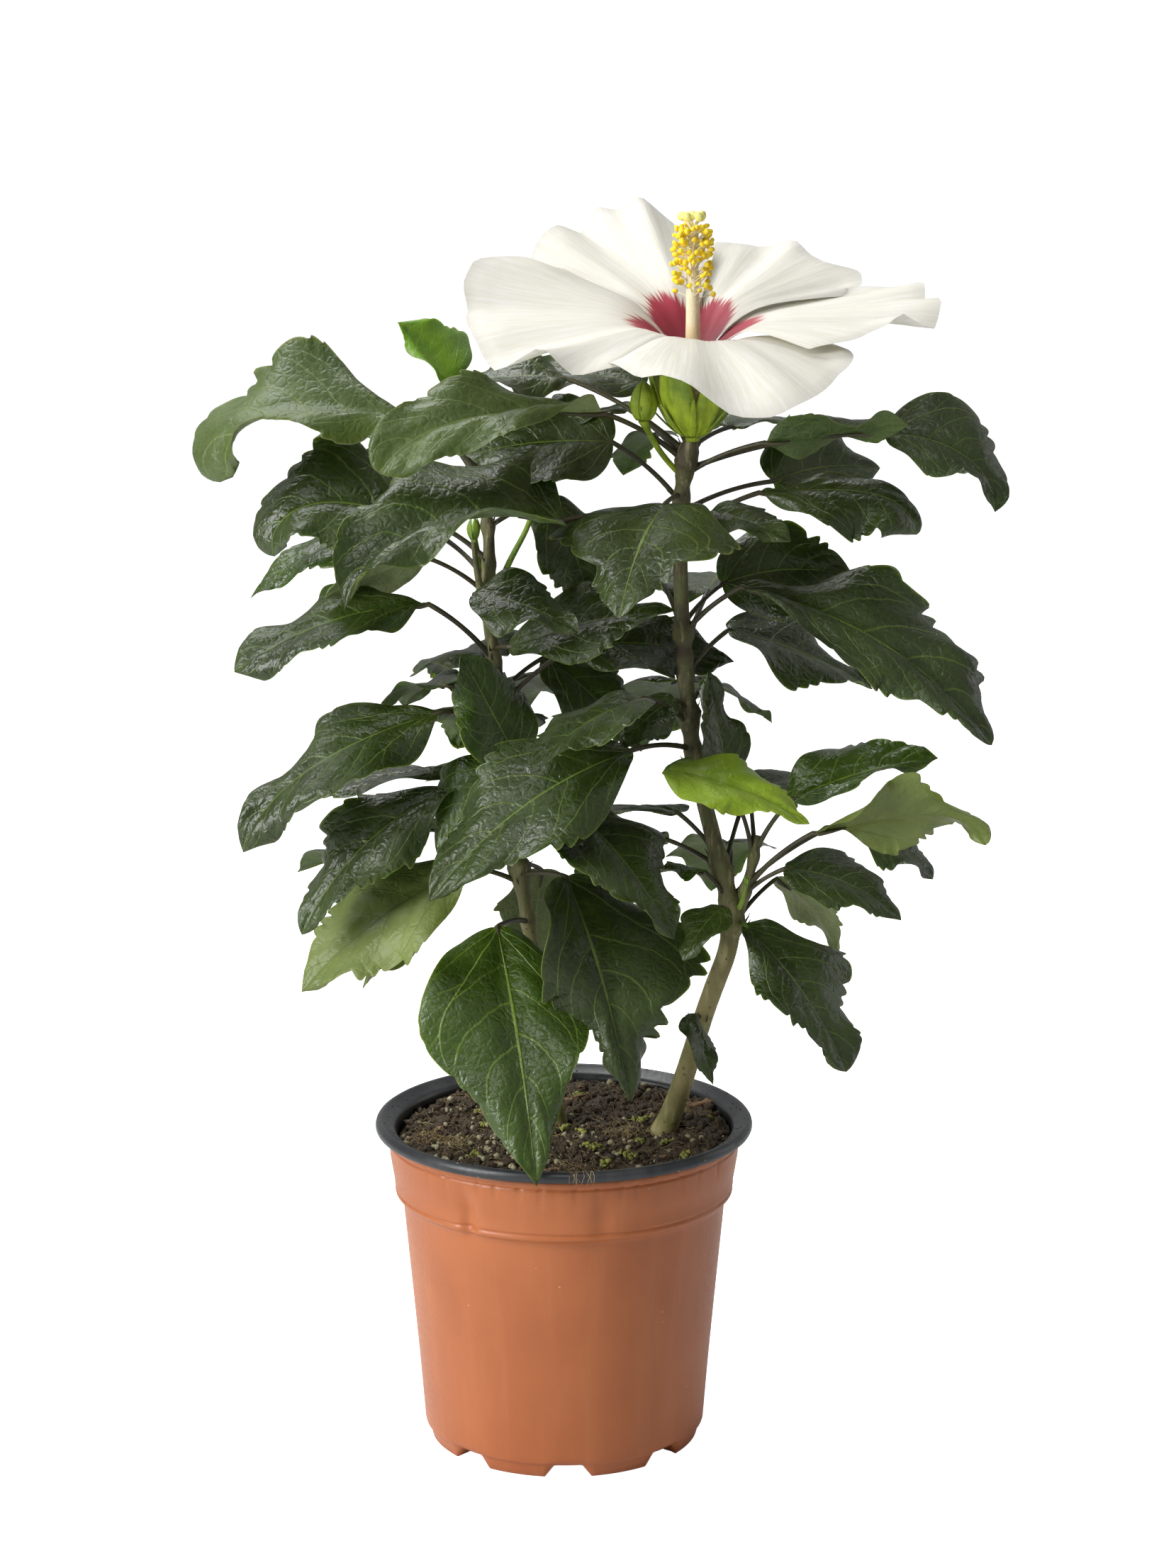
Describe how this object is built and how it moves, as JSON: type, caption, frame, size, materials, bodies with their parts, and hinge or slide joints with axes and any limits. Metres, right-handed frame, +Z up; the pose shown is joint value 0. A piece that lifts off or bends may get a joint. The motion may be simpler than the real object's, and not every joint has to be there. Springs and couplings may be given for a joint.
{
  "type": "potted hibiscus shrub",
  "caption": "Potted hibiscus shrub with woody stems, large toothed glossy leaves and an open bloom, in a round tapered nursery pot.",
  "frame": {"origin": "centre of the pot's flat underside", "axes": "+Z up along the pot's axis, -Y towards the plant's front, +X to the right as seen from the front"},
  "size_m": [0.2672, 0.1869, 0.4263],
  "materials": {
    "terracotta_plastic": "satin",
    "black_plastic": "satin",
    "potting_soil": "rough",
    "bark": "rough",
    "leaf": "glossy",
    "petal": "matt",
    "pollen": "matt",
    "calyx": "matt"
  },
  "bodies": {
    "root": {"pot_body": "terracotta_plastic", "pot_rim": "black_plastic", "soil": "potting_soil", "stem_right": "bark", "stem_left": "bark", "bough_right_low": "bark", "bough_right_high": "bark", "bough_left_low": "bark", "leaves_right_fork": "leaf", "leaves_right_waist": "leaf", "leaves_right_middle": "leaf", "leaves_right_crown": "leaf", "leaves_left_low": "leaf", "leaves_left_waist": "leaf", "leaves_left_crown": "leaf", "bloom_calyx": "calyx", "bloom_petals": "petal", "bloom_column": "pollen"}
  },
  "joints": []
}
